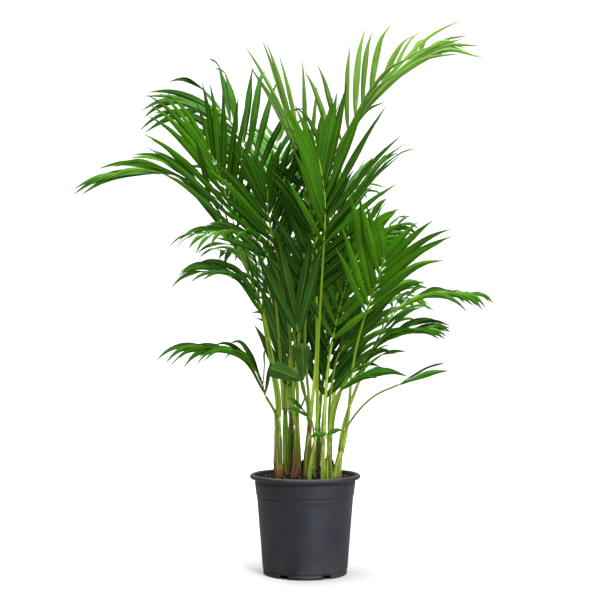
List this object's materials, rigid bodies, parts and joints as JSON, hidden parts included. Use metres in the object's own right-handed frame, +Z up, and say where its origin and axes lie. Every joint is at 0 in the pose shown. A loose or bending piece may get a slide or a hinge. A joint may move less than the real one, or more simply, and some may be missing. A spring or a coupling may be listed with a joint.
{
  "type": "potted palm",
  "caption": "Areca-type palm: a clump of green canes with arching, feather-shaped fronds, standing in dark soil in a round grey plastic nursery pot with a rolled rim.",
  "frame": {"origin": "centre of the flat underside of the pot, on the surface it stands on", "axes": "+Z up along the pot's axis; -Y towards the side of the plant that the picture shows; +X to the right seen from there"},
  "size_m": [0.6332, 0.5224, 0.861],
  "materials": {
    "pot_plastic": "matte",
    "soil": "crumbly",
    "cane": "satin",
    "dead_cane": "matte",
    "leaf": "satin"
  },
  "bodies": {
    "root": {"pot": "pot_plastic", "soil": "soil", "cane_01": "cane", "cane_02": "cane", "cane_03": "cane", "cane_04": "cane", "cane_05": "cane", "cane_06": "cane", "cane_07": "cane", "cane_08": "cane", "cane_09": "cane", "cane_10": "cane", "cane_11": "cane", "dead_stub": "dead_cane", "frond_01": "leaf", "frond_02": "leaf", "frond_03": "leaf", "frond_04": "leaf", "frond_05": "leaf", "frond_06": "leaf", "frond_07": "leaf", "frond_08": "leaf", "frond_09": "leaf", "frond_10": "leaf", "frond_11": "leaf", "frond_12": "leaf", "frond_13": "leaf", "frond_14": "leaf", "frond_15": "leaf", "frond_16": "leaf", "frond_17": "leaf", "frond_18": "leaf", "frond_19": "leaf", "frond_20": "leaf", "frond_21": "leaf", "frond_22": "leaf", "frond_23": "leaf", "frond_24": "leaf", "frond_25": "leaf", "frond_26": "leaf", "frond_27": "leaf", "frond_28": "leaf", "frond_29": "leaf", "frond_30": "leaf", "frond_31": "leaf"}
  },
  "joints": []
}
